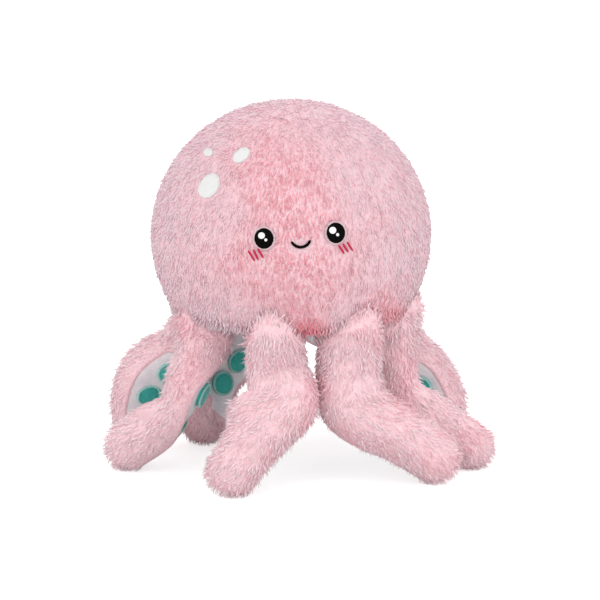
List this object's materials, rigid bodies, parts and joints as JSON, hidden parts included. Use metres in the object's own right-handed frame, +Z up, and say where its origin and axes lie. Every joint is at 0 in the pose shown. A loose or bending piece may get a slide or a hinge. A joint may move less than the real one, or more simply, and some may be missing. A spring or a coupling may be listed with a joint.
{
  "type": "plush octopus",
  "caption": "Soft toy octopus with a round long-pile pink head, an embroidered face and curled stuffed arms that have white undersides with teal suckers.",
  "frame": {"origin": "on the floor under the middle of the toy's width and depth", "axes": "+Z up through the head, -Y the way the face looks, +X towards the right of someone looking at the face"},
  "size_m": [0.385, 0.3628, 0.362],
  "materials": {
    "pink_pile": "long soft pile",
    "white_minky": "short dense nap",
    "polyester_filling": "loose fibre",
    "teal_felt": "short nap with a stitched rim",
    "black_embroidery": "satin stitch",
    "white_satin": "smooth woven face"
  },
  "bodies": {
    "head": {"head_cover": "pink_pile", "head_filling": "polyester_filling", "base_panel": "white_minky", "eye_left": "black_embroidery", "eye_right": "black_embroidery", "mouth": "black_embroidery", "head_spot_big": "white_satin", "head_spot_middle": "white_satin", "head_spot_small": "white_satin"},
    "arm_front_left": {"arm_front_left_cover": "pink_pile", "arm_front_left_filling": "polyester_filling", "arm_front_left_underside": "white_minky", "arm_front_left_sucker_1": "teal_felt", "arm_front_left_sucker_2": "teal_felt"},
    "arm_front_right": {"arm_front_right_cover": "pink_pile", "arm_front_right_filling": "polyester_filling", "arm_front_right_underside": "white_minky", "arm_front_right_sucker_1": "teal_felt", "arm_front_right_sucker_2": "teal_felt"},
    "arm_side_right": {"arm_side_right_cover": "pink_pile", "arm_side_right_filling": "polyester_filling", "arm_side_right_underside": "white_minky", "arm_side_right_sucker_1": "teal_felt", "arm_side_right_sucker_2": "teal_felt"},
    "arm_rear_right": {"arm_rear_right_cover": "pink_pile", "arm_rear_right_filling": "polyester_filling", "arm_rear_right_underside": "white_minky", "arm_rear_right_sucker_1": "teal_felt", "arm_rear_right_sucker_2": "teal_felt"},
    "arm_back_right": {"arm_back_right_cover": "pink_pile", "arm_back_right_filling": "polyester_filling", "arm_back_right_underside": "white_minky", "arm_back_right_sucker_1": "teal_felt", "arm_back_right_sucker_2": "teal_felt"},
    "arm_back_left": {"arm_back_left_cover": "pink_pile", "arm_back_left_filling": "polyester_filling", "arm_back_left_underside": "white_minky", "arm_back_left_sucker_1": "teal_felt", "arm_back_left_sucker_2": "teal_felt"},
    "arm_rear_left": {"arm_rear_left_cover": "pink_pile", "arm_rear_left_filling": "polyester_filling", "arm_rear_left_underside": "white_minky", "arm_rear_left_sucker_1": "teal_felt", "arm_rear_left_sucker_2": "teal_felt"},
    "arm_side_left": {"arm_side_left_cover": "pink_pile", "arm_side_left_filling": "polyester_filling", "arm_side_left_underside": "white_minky", "arm_side_left_sucker_1": "teal_felt", "arm_side_left_sucker_2": "teal_felt"}
  },
  "joints": [
    {"name": "arm_front_left_lift", "type": "hinge", "parent": "head", "child": "arm_front_left", "pos_m": [-0.02456, -0.0902, 0.133], "axis": [-0.9863, 0.165, 0], "range_deg": [-8, 24], "stiffness_Nm_per_rad": 1.5},
    {"name": "arm_front_right_lift", "type": "hinge", "parent": "head", "child": "arm_front_right", "pos_m": [0.04413, -0.07466, 0.133], "axis": [-0.8192, -0.5736, 0], "range_deg": [-8, 30], "stiffness_Nm_per_rad": 1.5},
    {"name": "arm_side_right_lift", "type": "hinge", "parent": "head", "child": "arm_side_right", "pos_m": [0.08175, -0.01782, 0.133], "axis": [-0.2079, -0.9781, 0], "range_deg": [-10, 28], "stiffness_Nm_per_rad": 1.5},
    {"name": "arm_rear_right_lift", "type": "hinge", "parent": "head", "child": "arm_rear_right", "pos_m": [0.0705, 0.04942, 0.133], "axis": [0.515, -0.8572, 0], "range_deg": [-25, 14], "stiffness_Nm_per_rad": 1.5},
    {"name": "arm_back_right_lift", "type": "hinge", "parent": "head", "child": "arm_back_right", "pos_m": [0.01798, 0.09045, 0.133], "axis": [0.9563, -0.2924, 0], "range_deg": [-25, 8], "stiffness_Nm_per_rad": 1.5},
    {"name": "arm_back_left_lift", "type": "hinge", "parent": "head", "child": "arm_back_left", "pos_m": [-0.05986, 0.07951, 0.133], "axis": [0.8387, 0.5446, 0], "range_deg": [-8, 18], "stiffness_Nm_per_rad": 1.5},
    {"name": "arm_rear_left_lift", "type": "hinge", "parent": "head", "child": "arm_rear_left", "pos_m": [-0.1005, 0.01926, 0.133], "axis": [0.1908, 0.9816, 0], "range_deg": [-2, 14], "stiffness_Nm_per_rad": 1.5},
    {"name": "arm_side_left_lift", "type": "hinge", "parent": "head", "child": "arm_side_left", "pos_m": [-0.08975, -0.04498, 0.133], "axis": [-0.5, 0.866, 0], "range_deg": [-25, 30], "stiffness_Nm_per_rad": 1.5}
  ]
}
